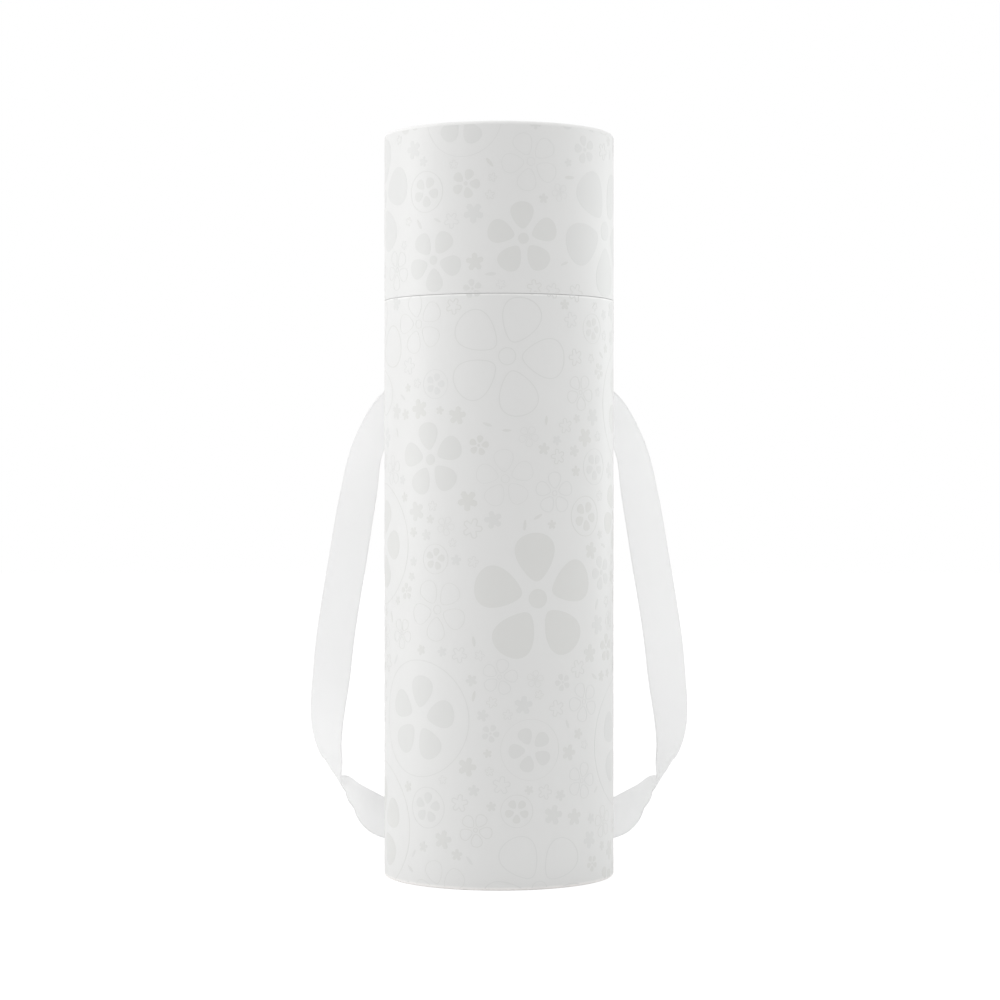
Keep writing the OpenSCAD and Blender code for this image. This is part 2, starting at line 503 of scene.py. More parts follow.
roll, roll_in, roll_out = new_tree(
    "roll onto the tube",
    {"Radius": "NodeSocketFloat", "Weld": "NodeSocketFloat", "Material": "NodeSocketMaterial"},
)
position = roll.nodes.new("GeometryNodeInputPosition")
split = roll.nodes.new("ShaderNodeSeparateXYZ")
joined = roll.nodes.new("ShaderNodeCombineXYZ")
moved = roll.nodes.new("GeometryNodeSetPosition")
weld = roll.nodes.new("GeometryNodeMergeByDistance")
roll.links.new(position.outputs[0], split.inputs[0])
turn = math_node(roll, "DIVIDE", split.outputs["X"], roll_in.outputs["Radius"])
reach = math_node(roll, "ADD", split.outputs["Z"], roll_in.outputs["Radius"])
across = math_node(roll, "MULTIPLY", reach, math_node(roll, "SINE", turn))
front = math_node(roll, "MULTIPLY", reach, math_node(roll, "COSINE", turn))
back = math_node(roll, "MULTIPLY", front, -1.0)
link_chain(
    roll,
    (across, joined.inputs["X"]),
    (back, joined.inputs["Y"]),
    (split.outputs["Y"], joined.inputs["Z"]),
    (roll_in.outputs["Geometry"], moved.inputs["Geometry"]),
    (joined.outputs[0], moved.inputs["Position"]),
    (moved.outputs[0], weld.inputs["Geometry"]),
    (roll_in.outputs["Weld"], weld.inputs["Distance"]),
)
end_tree(roll, weld.outputs[0], roll_in, roll_out)
print("tree:", roll.name)

# %% Run a tree on a mesh and keep the plain result


def bake(piece):
    """Keep what the modifiers make of the piece's mesh, and take them off."""
    graph = bpy.context.evaluated_depsgraph_get()
    result = bpy.data.meshes.new_from_object(piece.evaluated_get(graph))
    piece.modifiers.clear()
    piece.data = result
    result.name = piece.name


def run_tree(name, mesh, tree, **values):
    piece = new_object(name, mesh)
    modifier = piece.modifiers.new("nodes", "NODES")
    modifier.node_group = tree
    for item in tree.interface.items_tree:
        if item.in_out == "INPUT" and item.name in values:
            modifier[item.identifier] = values[item.name]
    bake(piece)
    return piece


def rolled(flat, material, radius=tube_r, weld=weld_gap):
    """A piece with the name of its flat mesh, rolled onto the tube."""
    return run_tree(flat.name, flat, roll, Radius=radius, Weld=weld, Material=material)


def smooth_by_angle(piece, degrees=35):
    for face in piece.data.polygons:
        face.use_smooth = True
    piece.data.set_sharp_from_angle(angle=math.radians(degrees))


# %% [markdown]
# The wall's section is a long thin outline. At the closed end the board turns round a small radius
# and comes back as a hem inside. At the open end it is cut, with a slightly softened edge. The paper
# wrap overlaps itself at the back: the last strip lies on top and makes a fine raised edge there.

# %% Wall section and flat sheet
lap_w = 7 * MM
lap_t = 0.12 * MM
lap_fade = 2.5 * MM
height_steps = 24


def arc(x, y, r, start, steps=8):
    """A quarter turn of radius r round (x, y), from the angle start, anticlockwise."""
    return [(x + r * math.cos(start + math.pi / 2 * i / steps),
             y + r * math.sin(start + math.pi / 2 * i / steps)) for i in range(steps + 1)]


def wall_section(height, fold):
    """Outline of the wall as (thickness, height) pairs, the outer face at 0 and the inside below."""
    lip = -(2 * wall_t + hem_gap)
    quarter = math.pi / 2
    outline = [(lip, hem_h)]
    outline += arc(lip + fold, fold, fold, 2 * quarter)
    outline += arc(-fold, fold, fold, 3 * quarter)
    outline += [(0, height * i / height_steps) for i in range(1, height_steps)]
    outline += arc(-cut_edge_r, height - cut_edge_r, cut_edge_r, 0, 4)
    outline += [(-wall_t, height), (-wall_t, wall_t)]
    outline += [(-wall_t - hem_gap, wall_t), (-wall_t - hem_gap, hem_h)]
    return outline


def lap_height(x):
    """How far the paper's overlap lifts the outer face, at x along the flat sheet."""
    start = -math.pi * tube_r
    fade = (x - start - lap_w) / lap_fade
    return lap_t * min(1, max(0, 1 - fade))


def flat_wall(name, height, foot, up, fold):
    """The wall as a closed flat slab; up is 1 for the body and -1 for the lid, whose hem is on top."""
    section = wall_section(height, fold)
    half = math.pi * tube_r
    columns = [(-half + 2 * half * i / round_steps, True) for i in range(round_steps)]
    columns += [(half, False), (half, True)]
    points = []
    for x, lifted in columns:
        lift = lap_height(-half if x == half and lifted else x)
        for z, y in section:
            on_face = max(0, min(1, 1 + z / fold))
            points.append((x, foot + up * y, z + lift * on_face))
    n = len(section)
    faces = []
    for i in range(len(columns) - 1):
        for k in range(n):
            ring = (i * n + k, i * n + (k + 1) % n, (i + 1) * n + (k + 1) % n, (i + 1) * n + k)
            faces.append(ring if up < 0 else ring[::-1])
    return mesh_from(name, points, faces)


body_wall = rolled(flat_wall("body_wall", body_high.z, 0, 1, foot_r), wrap)
lid_h = lid_high.z - lid_low.z + seam_close
lid_wall = rolled(flat_wall("lid_wall", lid_h, lid_high.z, -1, rim_r), wrap)
for wall in (body_wall, lid_wall):
    print(wall.name, len(wall.data.polygons), "faces")

# %% [markdown]
# The ribbons pass through four slits at the back of the body. Each slit is a slanted cut, with a
# shallow seat behind it where the ribbon's end is glued between the wall and the sleeve. The cutters
# are made on the flat sheet too, rolled by the same rule, and taken from the wall with a Boolean.

# %% Ribbon sizes and the way it runs
ribbon_w = 17 * MM
ribbon_t = 0.5 * MM
loop_out = 26.8 * MM
top_slit = {"turn": math.radians(30), "z": body_high.z - 30 * MM, "fall": math.radians(38)}
low_slit = {"turn": math.radians(42), "z": 17 * MM, "fall": math.radians(-15)}
tab_l = 10 * MM
pass_l = 2.6 * MM
slit_clear = 0.3 * MM
outside_gap = 0.3 * MM
behind_gap = 0.1 * MM
outside_r = tube_r + ribbon_t / 2 + outside_gap
behind_r = neck_r + ribbon_t / 2 + behind_gap
# Share of loop_out beyond the wall, of tube_r to the back and of the height between the slits, and
# the twist in degrees
loop_rows = [
    (-0.01, 0.58, 0.914, -28),
    (0.296, 0.52, 0.843, -37),
    (0.482, 0.475, 0.727, -17),
    (0.631, 0.414, 0.605, -6),
    (0.90, 0.38, 0.356, 5),
    (0.944, 0.338, 0.188, 45),
    (0.886, 0.329, 0.158, 57),
    (0.761, 0.387, 0.102, 92),
    (0.704, 0.402, 0.0965, 102),
    (0.502, 0.471, 0.0695, 117),
    (0.115, 0.543, 0.023, 163),
]
print("ribbon", ribbon_w / MM, "mm wide, rows in its loop:", len(loop_rows))

# %% Cut the slits


def flat_block(slit, side, start, end, low, high, steps):
    """A slanted block on the flat sheet, from start to end along the ribbon and low to high in z."""
    half = ribbon_w / 2 + slit_clear
    along = Vector((math.cos(slit["fall"]), -math.sin(slit["fall"]), 0))
    wide = Vector((math.sin(slit["fall"]), math.cos(slit["fall"]), 0))
    middle = Vector((slit["turn"] * tube_r, slit["z"], 0))
    points = []
    for i in range(steps + 1):
        reach = start + (end - start) * i / steps
        for w, z in ((-half, low), (half, low), (half, high), (-half, high)):
            p = middle + along * reach + wide * w
            points.append((side * (math.pi * tube_r - p.x), p.y, z))
    faces = [(0, 1, 2, 3), tuple(4 * steps + k for k in (3, 2, 1, 0))]
    for i in range(steps):
        for k in range(4):
            a, b = 4 * i + k, 4 * i + (k + 1) % 4
            faces.append((b, a, a + 4, b + 4))
    return points, faces


edge_dip = ribbon_w / 2 * math.sin(top_slit["fall"])
seat_z = math.hypot(behind_r + ribbon_t / 2, edge_dip) + slit_clear / 3 - tube_r
inside_z, outside_z = -wall_t - fit_gap, 2 * MM
seat_start, seat_end = -pass_l - tab_l - slit_clear, -pass_l - slit_clear / 2
blocks = []
for side in (1, -1):
    for slit in (top_slit, low_slit):
        blocks.append(flat_block(slit, side, -pass_l - slit_clear, slit_clear, inside_z, outside_z, 2))
        blocks.append(flat_block(slit, side, seat_start, seat_end, inside_z, seat_z, 8))
cutter = rolled(mesh_from("slit_cutter", *join_parts(blocks)), wrap, weld=0.0)
face_outwards(cutter.data)

before = len(body_wall.data.vertices)
modifier = body_wall.modifiers.new("cut", "BOOLEAN")
modifier.operation = "DIFFERENCE"
modifier.solver = "EXACT"
modifier.use_self = True
modifier.object = cutter
bake(body_wall)
bpy.data.objects.remove(cutter)
for wall in (body_wall, lid_wall):
    smooth_by_angle(wall, 30)
print("the slits added", len(body_wall.data.vertices) - before, "points to the wall")

# %% [markdown]
# The sleeve is a plain tube of uncoated board. It is rolled in the same way, with softened edges,
# and its winding line comes from the material. The two end boards are cut discs: rings of points
# round a centre, with a rounded edge and a barely dished face, as pressed board has.

# %% Inner sleeve


def flat_sleeve(name, low, high, thick, edge):
    outline = [(-thick, low + edge), (-thick + edge, low), (-edge, low), (0, low + edge)]
    outline += [(0, low + (high - low) * i / 12) for i in range(1, 12)]
    outline += [(0, high - edge), (-edge, high), (-thick + edge, high), (-thick, high - edge)]
    half = math.pi * neck_r
    points = [(-half + 2 * half * i / round_steps, y, z)
              for i in range(round_steps + 1) for z, y in outline]
    n = len(outline)
    faces = [(i * n + k, (i + 1) * n + k, (i + 1) * n + (k + 1) % n, i * n + (k + 1) % n)
             for i in range(round_steps) for k in range(n)]
    return mesh_from(name, points, faces)


flat_neck = flat_sleeve("neck_sleeve", neck_low.z, neck_high.z, neck_t, cut_edge_r)
neck_sleeve = rolled(flat_neck, inner_paper, radius=neck_r)
smooth_by_angle(neck_sleeve)
print(neck_sleeve.name, len(neck_sleeve.data.polygons), "faces")

# %% End boards
board_rings = 20


def end_board(name, node, dish_up):
    """A round board in the place of a node, its edge softened and its face dished to dish_up."""
    low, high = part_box(node)
    r, edge = high.x, board_edge_r

    def dished(share):
        return board_dish * (1 - share * share) * dish_up

    radii = [r * i / board_rings for i in range(1, board_rings)]
    radii = [q for q in radii if q < r - 2 * edge]
    section = [(q, high.z + min(0, dished(q / r))) for q in radii]
    section += arc(r - edge, high.z - edge, edge, 0, 3)[::-1]
    section += arc(r - edge, low.z + edge, edge, -math.pi / 2, 3)[::-1]
    section += [(q, low.z + max(0, dished(q / r))) for q in reversed(radii)]
    n = len(section)
    points = []
    for i in range(round_steps):
        a = 2 * math.pi * i / round_steps
        points += [(q * math.cos(a), q * math.sin(a), z) for q, z in section]
    over, under = len(points), len(points) + 1
    points += [(0, 0, high.z + min(0, dished(0))), (0, 0, low.z + max(0, dished(0)))]
    faces = []
    for i in range(round_steps):
        a, b = i * n, (i + 1) % round_steps * n
        faces += [(a + k, a + k + 1, b + k + 1, b + k) for k in range(n - 1)]
        faces += [(over, a, b), (under, b + n - 1, a + n - 1)]
    piece = new_object(name, mesh_from(name, points, faces), end_paper)
    smooth_by_angle(piece)
    return piece


lid_board = end_board("lid_board", "lid_disc", -1)
base_board = end_board("base_board", "base_disc", 1)
print(lid_board.name, "and", base_board.name)

# %% [markdown]
# The print is a pale tone-on-tone pattern that runs over the whole tube, across the line between the
# lid and the body. Here it is a scatter of blossoms and leaves in mixed sizes, some filled and some
# in outline. Each motif is a thin flat solid, the ink's thickness, made once at the size of 1 and
# placed many times.

# %% Motifs at unit size


def ring_solid(outer, inner, steps):
    """A closed thin solid, 0 to 1 in z, between two closed outlines with as many points."""
    n = len(outer)
    points, faces = [], []
    for z in (0.0, 1.0):
        for s in range(steps + 1):
            points += [(a[0] + (b[0] - a[0]) * s / steps, a[1] + (b[1] - a[1]) * s / steps, z)
                       for a, b in zip(outer, inner)]
    layer = n * (steps + 1)
    last = steps * n
    for k in range(n):
        m = (k + 1) % n
        for s in range(steps):
            a, b, c, d = s * n + k, s * n + m, (s + 1) * n + m, (s + 1) * n + k
            faces += [(d, c, b, a), (layer + a, layer + b, layer + c, layer + d)]
        faces.append((k, m, layer + m, layer + k))
        faces.append((last + m, last + k, layer + last + k, layer + last + m))
    return points, faces


def fill_solid(outer, steps):
    """A closed thin solid, 0 to 1 in z, inside an outline, in rings round its middle point."""
    n = len(outer)
    middle = (sum(p[0] for p in outer) / n, sum(p[1] for p in outer) / n)
    points, faces = [], []
    for z in (0.0, 1.0):
        for s in range(steps):
            keep = 1 - s / steps
            points += [(middle[0] + (x - middle[0]) * keep, middle[1] + (y - middle[1]) * keep, z)
                       for x, y in outer]
        points.append((*middle, z))
    layer = n * steps + 1
    for k in range(n):
        m = (k + 1) % n
        for s in range(steps - 1):
            a, b, c, d = s * n + k, s * n + m, (s + 1) * n + m, (s + 1) * n + k
            faces += [(d, c, b, a), (layer + a, layer + b, layer + c, layer + d)]
        a, b, core = (steps - 1) * n + k, (steps - 1) * n + m, layer - 1
        faces += [(core, b, a), (layer + a, layer + b, layer + core)]
        faces.append((k, m, layer + m, layer + k))
    return points, faces


def bloom(points_in_petal, foot=0.5, petals=5):
    """Outline of a whole flower with round petals, for the small motifs."""
    outline = []
    for i in range(petals * points_in_petal):
        a = 2 * math.pi * i / (petals * points_in_petal)
        r = foot + (1 - foot) * abs(math.sin(petals * a / 2)) ** 0.7
        outline.append((r * math.cos(a), r * math.sin(a)))
    return outline


def petal(points, foot=0.26, half=0.36):
    """Outline of one petal along +y: narrow at its foot, round and full near its tip."""
    outline = []
    for i in range(points):
        a = 2 * math.pi * i / points
        y = (1 - math.cos(a)) / 2
        x = half * math.sin(a) * (0.5 + 0.8 * y) * (1 - 0.12 * y)
        outline.append((-x, foot + (1 - foot) * y))
    return outline


def leaf(points, half=0.3):
    """Outline of one leaf along +y, pointed at both ends."""
    outline = []
    for i in range(points):
        a = 2 * math.pi * i / points
        y = -math.cos(a)
        x = half * math.copysign(abs(math.sin(a)) ** 1.25, math.sin(a)) * (1 - 0.15 * y)
        outline.append((-x, y))
    return outline


def circle(points, r):
    ways = [2 * math.pi * i / points for i in range(points)]
    return [(r * math.cos(a), r * math.sin(a)) for a in ways]


def turned(outline, angle):
    c, s = math.cos(angle), math.sin(angle)
    return [(x * c - y * s, x * s + y * c) for x, y in outline]


def inset(outline, line):
    """The outline moved inwards by the width of a drawn line."""
    n = len(outline)
    moved = []
    for i in range(n):
        (ax, ay), (bx, by) = outline[i - 1], outline[(i + 1) % n]
        length = math.hypot(bx - ax, by - ay)
        x, y = outline[i]
        moved.append((x - (by - ay) / length * line, y + (bx - ax) / length * line))
    return moved


def drawn(outline, steps, line):
    """A filled shape, or one drawn as a line when it has a width."""
    return ring_solid(outline, inset(outline, line), 1) if line else fill_solid(outline, steps)


def small_flower(count, steps, line):
    return drawn(bloom(count), steps, line)


def small_leaf(count, steps, line):
    return drawn(leaf(count), steps, line)


def five_petals(count, size, steps, line):
    shapes = [turned(petal(count), 2 * math.pi * i / 5) for i in range(5)]
    return [drawn([(x * size, y * size) for x, y in shape], steps, line) for shape in shapes]


def blossom(count, steps, line):
    """Five petals round an eye; line is 0 for a filled blossom, or the width of the drawn line."""
    eye = drawn(circle(count // 2, 0.15), max(1, steps // 3), line)
    return join_parts(five_petals(count, 1, steps, line) + [eye])


def ringed_blossom(count, steps, line):
    """A filled blossom inside a thin drawn ring."""
    ring = circle(3 * count, 1)
    return join_parts([ring_solid(ring, inset(ring, line), 1)] + five_petals(count, 0.74, steps, 0))


# Name, maker, points in an outline, rings in a filled face, and line width as a share of the size
motif_kinds = [
    ("small_full", small_flower, 4, 2, 0),
    ("small_line", small_flower, 4, 1, 0.13),
    ("small_leaf", small_leaf, 10, 2, 0),
    ("middle_full", blossom, 16, 2, 0),
    ("middle_line", blossom, 16, 1, 0.045),
    ("middle_ring", ringed_blossom, 16, 2, 0.035),
    ("large_full", blossom, 32, 7, 0),
    ("large_line", blossom, 36, 1, 0.016),
    ("large_ring", ringed_blossom, 32, 6, 0.014),
]
motif_box = bpy.data.collections.new("motifs")
for index, (name, maker, count, steps, line) in enumerate(motif_kinds):
    motif = bpy.data.objects.new(f"motif_{index}", mesh_from(name, *maker(count, steps, line)))
    motif_box.objects.link(motif)
    print(motif.name, name, len(motif.data.polygons), "faces")

# %% [markdown]
# The layout is drawn up on the flat sheet by throwing darts: the largest motifs land first, and each
# smaller one is kept only where it clears those already there. The sheet's two side edges meet at
# the back, so distances are taken round the tube. A fixed seed gives the same sheet every time.

# %% Lay out the motifs on the flat sheet
sheet_w = 2 * math.pi * tube_r
sheet_h = lid_high.z
layout_seed = 41
motif_gap = 1.1 * MM
slit_room = 11 * MM
bleed = 6 * MM
# Largest and smallest radius in millimetres, how many darts, and which motifs
layout_steps = [
    (29, 24, 150, (7, 8, 6)),
    (17, 12, 260, (6, 8, 7)),
    (9, 6, 900, (3, 4, 5, 5)),
    (4.6, 3.4, 3500, (0, 1, 0, 1, 3, 4)),
    (2.7, 1.9, 9000, (0, 1, 2, 0)),
]
dice = random.Random(layout_seed)
kept = []
slit_spots = [(side * (math.pi - slit["turn"]) * tube_r, slit["z"]) for side in (1, -1)
              for slit in (top_slit, low_slit)]


def clears(x, y, r):
    """Whether a motif would clear those already kept, and the slits."""
    for ox, oy, other, *_rest in kept:
        dx = abs(x - ox)
        if math.hypot(min(dx, sheet_w - dx), y - oy) < r + other + motif_gap:
            return False
    return all(math.hypot(x - sx, y - sy) > r + slit_room for sx, sy in slit_spots)


for high, low, darts, kinds in layout_steps:
    for _ in range(darts):
        x = dice.uniform(-sheet_w / 2, sheet_w / 2)
        y = dice.uniform(-bleed, sheet_h + bleed)
        r = dice.uniform(low, high) * MM
        kind = dice.choice(kinds)
        turn = dice.uniform(0, 2 * math.pi)
        tone = dice.random()
        if clears(x, y, r):
            kept.append((x, y, r, kind, turn, tone))
layout = bpy.data.meshes.new("layout")
layout.from_pydata([(x, y, 0) for x, y, *_rest in kept], [], [])
columns = {"size": ("FLOAT", 2), "kind": ("INT", 3), "turn": ("FLOAT", 4), "tone": ("FLOAT", 5)}
for label, (kind, column) in columns.items():
    values = [row[column] for row in kept]
    layout.attributes.new(label, kind, "POINT").data.foreach_set("value", values)
print(len(kept), "motifs on a sheet of", round(sheet_w / MM), "by", round(sheet_h / MM), "mm")

# %% [markdown]
# The tree for the print takes those points and their named attributes, and puts the right motif on
# each one: Pick Instance chooses from the collection by number. The instances are realised at the
# end, because an export keeps only real faces.

# %% Geometry Nodes tree: print the sheet
ink_t = 0.03 * MM

printing, print_in, print_out = new_tree(
    "print the sheet",
    {"Motifs": "NodeSocketCollection", "Ink": "NodeSocketFloat", "Material": "NodeSocketMaterial"},
)


def named(tree, label, kind="FLOAT"):
    node = tree.nodes.new("GeometryNodeInputNamedAttribute")
    node.data_type = kind
    node.inputs["Name"].default_value = label
    return next(s for s in node.outputs if s.enabled and s.name == "Attribute")


picked = printing.nodes.new("GeometryNodeCollectionInfo")
picked.inputs["Separate Children"].default_value = True
picked.inputs["Reset Children"].default_value = True
stamped = printing.nodes.new("GeometryNodeInstanceOnPoints")
stamped.inputs["Pick Instance"].default_value = True
spin = printing.nodes.new("ShaderNodeCombineXYZ")
grow = printing.nodes.new("ShaderNodeCombineXYZ")
size = named(printing, "size")
link_chain(
    printing,
    (print_in.outputs["Geometry"], stamped.inputs["Points"]),
    (print_in.outputs["Motifs"], picked.inputs["Collection"]),
    (picked.outputs[0], stamped.inputs["Instance"]),
    (named(printing, "kind", "INT"), stamped.inputs["Instance Index"]),
    (named(printing, "turn"), spin.inputs["Z"]),
    (spin.outputs[0], stamped.inputs["Rotation"]),
    (size, grow.inputs["X"]),
    (size, grow.inputs["Y"]),
    (print_in.outputs["Ink"], grow.inputs["Z"]),
    (grow.outputs[0], stamped.inputs["Scale"]),
)
end_tree(printing, stamped.outputs[0], print_in, print_out)
print("tree:", printing.name)

# %% [markdown]
# The ink is the wrap's own paper colour, only a little deeper: a warm grey and a cool grey, mixed by
# the tone that each motif carries. It keeps the paper's grain and shine, so that it reads as print
# and not as a sticker.

# %% Ink material
ink_warm = (0.632, 0.632, 0.616)
ink_cool = (0.644, 0.646, 0.639)


def paint_ink(tree, place):
    tone = tree.nodes.new("ShaderNodeAttribute")
    tone.attribute_name = "tone"
    return mix_colour(tree, tone.outputs["Fac"], ink_warm, ink_cool)


ink = paper_material("pale ink", 0.45, 0.5, paint_ink, Cloud=0.05, Relief=0.12, Waviness=0.10)

# %% Print, cut at the edges, and roll
flat_print = run_tree("flat_print", layout, printing, Motifs=motif_box, Ink=ink_t, Material=ink)
on_plane = 1e-7


def slice_sheet(work, point, normal, cut_off):
    """Cut the sheet by a plane; cut_off drops what lies beyond it and closes the cut."""
    everything = work.verts[:] + work.edges[:] + work.faces[:]
    found = bmesh.ops.bisect_plane(work, geom=everything, plane_co=point, plane_no=normal,
                                   clear_outer=cut_off, dist=on_plane)
    if cut_off:
        edges = [e for e in found["geom_cut"] if isinstance(e, bmesh.types.BMEdge) and e.is_valid]
        bmesh.ops.holes_fill(work, edges=edges, sides=0)


def cut_sheet(name, low, high):
    """The print between two heights and the sheet's sides, closed there and lifted over the lap."""
    half = sheet_w / 2
    cut = bmesh.new()
    for shift in (0, sheet_w, -sheet_w):
        first = len(cut.verts)
        cut.from_mesh(flat_print.data)
        cut.verts.ensure_lookup_table()
        bmesh.ops.translate(cut, verts=cut.verts[first:], vec=(shift, 0, 0))
    for point, normal in (((0, low, 0), (0, -1, 0)), ((0, high, 0), (0, 1, 0)),
                          ((-half, 0, 0), (-1, 0, 0)), ((half, 0, 0), (1, 0, 0))):
        slice_sheet(cut, point, normal, True)
    for line in (lap_w - half, lap_w + lap_fade - half):
        slice_sheet(cut, (line, 0, 0), (1, 0, 0), False)
    for vert in cut.verts:
        vert.co.z += lap_height(vert.co.x)
    mesh = bpy.data.meshes.new(name)
    cut.to_mesh(mesh)
    cut.free()
    return mesh


body_print = rolled(cut_sheet("body_print", foot_r, body_high.z - cut_edge_r), ink, weld=0.0)
lid_print = rolled(cut_sheet("lid_print", lid_low.z + cut_edge_r, lid_high.z - rim_r), ink,
                   weld=0.0)
bpy.data.objects.remove(flat_print)
for motif in list(motif_box.objects):
    bpy.data.objects.remove(motif)
bpy.data.collections.remove(motif_box)
for piece in (body_print, lid_print):
    smooth_by_angle(piece, 40)
    print(piece.name, sum(len(f.vertices) - 2 for f in piece.data.polygons), "triangles")

# %% [markdown]
# A ribbon is a woven strip, so it bends and twists but keeps its width. It leaves its upper slit
# flat on the wall, falls outwards in a long bow, turns over low down, and comes back to the lower
# slit with its other face in front. Its middle line is a smooth curve through a few rows of shares,
# each with a twist, and its sections are laid across that line. The strip gets a thick body with
# slightly thicker woven edges, and its own UV map in metres for the weave.

# %% Sections of the ribbon


def slit_twist(slit):
    return math.degrees(math.atan(math.tan(slit["turn"]) * math.sin(abs(slit["fall"]))))


def slit_section(slit, a):
    """Section at the way a behind the slit's mouth: middle, direction out and width direction."""
    share = min(1, a / pass_l)
    phi = slit["turn"] - a * math.cos(slit["fall"]) / tube_r
    r = outside_r - (outside_r - behind_r) * share * share * (3 - 2 * share)
    rise = (outside_r - behind_r) * 6 * share * (1 - share) / pass_l
    normal = Vector((math.sin(phi), math.cos(phi), 0))
    flat = math.cos(slit["fall"])
    along = Vector((math.cos(phi) * flat, -math.sin(phi) * flat, -math.sin(slit["fall"])))
    middle = Vector((r * math.sin(phi), r * math.cos(phi), slit["z"] + a * math.sin(slit["fall"])))
    return middle, (along + rise * normal).normalized(), normal.cross(along).normalized()


def bow_sections(steps):
    """Sections of the free bow, from the upper mouth to the lower one."""
    top, low = slit_section(top_slit, 0), slit_section(low_slit, 0)
    span = top_slit["z"] - low_slit["z"]
    rows = [(*top[0], -slit_twist(top_slit))]
    rows += [(tube_r + loop_out * g, tube_r * b, low_slit["z"] + span * h, t)
             for g, b, h, t in loop_rows]
    rows += [(*low[0], 180 - slit_twist(low_slit))]
    rows = [Vector((x, y, z, t)) for x, y, z, t in rows]
    chords = [(rows[i + 1].xyz - rows[i].xyz).length for i in range(len(rows) - 1)]
    slopes = [Vector((*top[1], 0))]
    for i in range(1, len(rows) - 1):
        before, after = chords[i - 1], chords[i]
        slopes.append(((rows[i] - rows[i - 1]) * (after / before)
                       + (rows[i + 1] - rows[i]) * (before / after)) / (before + after))
    slopes.append(Vector((*(-low[1]), 0)))
    sections = []
    for i, h in enumerate(chords):
        p, q, m, n = rows[i], rows[i + 1], slopes[i] * h, slopes[i + 1] * h
        for k in range(steps + (1 if i == len(chords) - 1 else 0)):
            u = k / steps
            at = (p * (2 * u ** 3 - 3 * u * u + 1) + m * (u ** 3 - 2 * u * u + u)
                  + q * (3 * u * u - 2 * u ** 3) + n * (u ** 3 - u * u))
            go = (p * (6 * u * u - 6 * u) + m * (3 * u * u - 4 * u + 1)
                  + q * (6 * u - 6 * u * u) + n * (3 * u * u - 2 * u))
            along = go.xyz.normalized()
            flat = Vector((0, 1, 0)).cross(along).normalized()
            face = along.cross(flat)
            twist = math.radians(at.w)
            sections.append((at.xyz, along, flat * math.cos(twist) - face * math.sin(twist)))
    return sections


def ribbon_sections():
    """Sections of the whole strip, glued ends included, from the upper end to the lower one."""
    ways = [pass_l * i / 8 for i in range(1, 9)] + [pass_l + tab_l * i / 6 for i in range(1, 7)]
    top = [slit_section(top_slit, a) for a in reversed(ways)]
    low = [(m, -d, w) for m, d, w in (slit_section(low_slit, a) for a in ways)]
    return top + bow_sections(16) + low


sections = ribbon_sections()
run = [0.0]
for a, b in zip(sections, sections[1:]):
    run.append(run[-1] + (b[0] - a[0]).length)

# %% Ribbon material
weft_share = 0.35
thread_w = 0.32 * MM
thread_depth = 0.02 * MM
selvage_w = 0.7 * MM
ribbon_white = (0.935, 0.935, 0.935)
selvage_white = (0.905, 0.905, 0.905)
through_share = 0.7

weave, weave_in, weave_out = new_group(
    "satin weave",
    {"UV": (0.0, 0.0, 0.0), "Thread": 0.0003, "Relief": 0.3},
    {"Tone": "NodeSocketFloat", "Normal": "NodeSocketVector"},
)
given = weave_in.outputs
split = weave.nodes.new("ShaderNodeSeparateXYZ")
weave.links.new(given["UV"], split.inputs[0])
along = math_node(weave, "DIVIDE", split.outputs["X"], given["Thread"])
across = math_node(weave, "DIVIDE", split.outputs["Y"], given["Thread"])
weft = math_node(weave, "SINE", math_node(weave, "MULTIPLY", along, 2 * math.pi))
shift = math_node(weave, "MULTIPLY_ADD", math_node(weave, "FLOOR", along), 0.4, across)
warp = math_node(weave, "SINE", math_node(weave, "MULTIPLY", shift, 2 * math.pi))
warped = math_node(weave, "MULTIPLY", warp, 1 - weft_share)
thread = math_node(weave, "MULTIPLY_ADD", weft, weft_share, warped)
uneven = noise_node(weave, given["UV"], 700, 2, 0.6)
height = math_node(weave, "MULTIPLY_ADD", uneven, 0.8, thread)
link_chain(
    weave,
    (bump_node(weave, height, given["Relief"], thread_depth), weave_out.inputs["Normal"]),
    (math_node(weave, "MULTIPLY_ADD", height, 0.012, 0.99), weave_out.inputs["Tone"]),
)

satin = new_material("satin ribbon")
tree = satin.node_tree
shader = principled(satin, 0.45, 0.35)
through = tree.nodes.new("ShaderNodeBsdfTranslucent")
cloth = tree.nodes.new("ShaderNodeMixShader")
cloth.inputs[0].default_value = through_share
out = next(node for node in tree.nodes if node.type == "OUTPUT_MATERIAL")
link_chain(
    tree,
    (shader.outputs[0], cloth.inputs[1]),
    (through.outputs[0], cloth.inputs[2]),
    (cloth.outputs[0], out.inputs["Surface"]),
)
uv = tree.nodes.new("ShaderNodeUVMap")
uv.uv_map = "strip"
threads = place_group(tree, weave, UV=uv.outputs[0], Thread=thread_w, Relief=0.25)
split = tree.nodes.new("ShaderNodeSeparateXYZ")
tree.links.new(uv.outputs[0], split.inputs[0])
from_middle = math_node(tree, "ABSOLUTE", split.outputs["Y"])
edge = math_node(tree, "GREATER_THAN", from_middle, ribbon_w / 2 - selvage_w)
white = mix_colour(tree, edge, ribbon_white, selvage_white)
woven = toned(tree, white, threads.outputs["Tone"])
link_chain(
    tree,
    (woven, shader.inputs["Base Color"]),
    (woven, through.inputs["Color"]),
    (threads.outputs["Normal"], shader.inputs["Normal"]),
)
print("material:", satin.name)

# %% Weave the two ribbons
strip_edge_r = 0.12 * MM
strip_steps = 16
selvage_from = 0.88
middle_share = 0.8


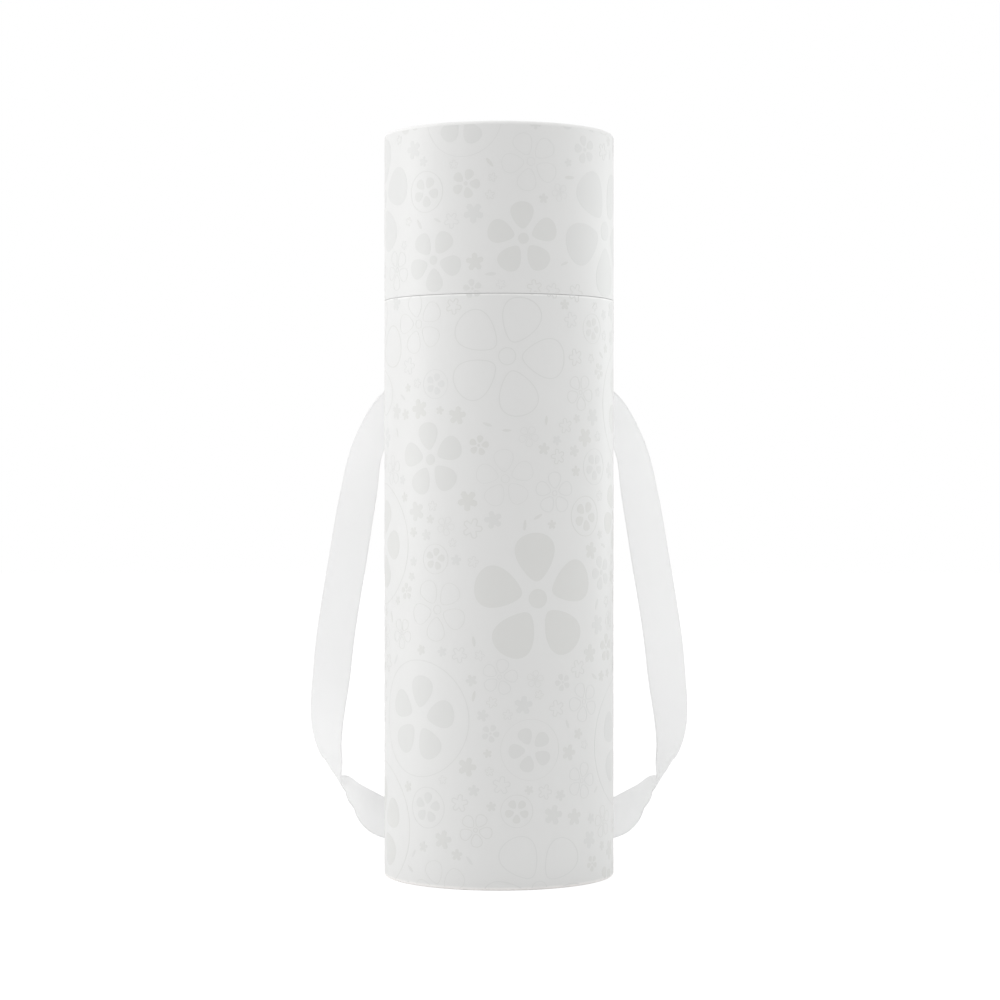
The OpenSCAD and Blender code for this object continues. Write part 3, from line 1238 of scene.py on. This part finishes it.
def ribbon_mesh(name, side):
    """The strip as a closed band with softened, slightly thicker edges, and a UV map in metres."""
    half = ribbon_w / 2
    ways = [-1 + 2 * i / strip_steps for i in range(strip_steps + 1)]
    profile = [(w * (half - strip_edge_r), ribbon_t / 2 * (1 if abs(w) > selvage_from else middle_share))
               for w in ways]
    loop = profile + [(half, 0)] + [(w, -t) for w, t in reversed(profile)] + [(-half, 0)]
    n = len(loop)
    points, faces, uvs = [], [], []
    for (middle, along, wide), s in zip(sections, run):
        thick = along.cross(wide)
        for w, t in loop:
            p = middle + wide * w + thick * t
            points.append((side * p.x, p.y, p.z))
            uvs.append((s, w))
    for i in range(len(sections) - 1):
        for k in range(n):
            a, b = i * n + k, i * n + (k + 1) % n
            faces.append((a, b, b + n, a + n))
    faces.append(tuple(range(n))[::-1])
    faces.append(tuple((len(sections) - 1) * n + k for k in range(n)))
    mesh = mesh_from(name, points, faces)
    layer = mesh.uv_layers.new(name="strip")
    for loop_corner in mesh.loops:
        layer.data[loop_corner.index].uv = uvs[loop_corner.vertex_index]
    face_outwards(mesh)
    return mesh


ribbons = {}
for name, side in (("ribbon_left", -1), ("ribbon_right", 1)):
    ribbons[name] = new_object(name, ribbon_mesh(name, side), satin)
    smooth_by_angle(ribbons[name], 50)
    print(name, len(ribbons[name].data.polygons), "faces")

# %% [markdown]
# Last, every piece is attached to the body that carries it, and the solids that it stands for are
# hidden. The lid's wall, board and print ride on the lid, so the lid lifts off with its print and
# the sleeve stays behind.

# %% Hand the pieces to the frame
riders = [
    (body_wall, "tube", ["body_tube"], "printed_board"),
    (body_print, "tube", [], "printed_board"),
    (base_board, "tube", ["base_disc"], "end_board"),
    (neck_sleeve, "tube", ["neck_tube"], "inner_board"),
    (ribbons["ribbon_left"], "tube", ["strap_left"], "ribbon"),
    (ribbons["ribbon_right"], "tube", ["strap_right"], "ribbon"),
    (lid_wall, "lid", ["lid_tube"], "printed_board"),
    (lid_print, "lid", [], "printed_board"),
    (lid_board, "lid", ["lid_disc"], "end_board"),
]
for piece, body, stands_for, finish in riders:
    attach(piece, body)
    if stands_for:
        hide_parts(*stands_for)
print(len(riders), "pieces ride on two bodies")
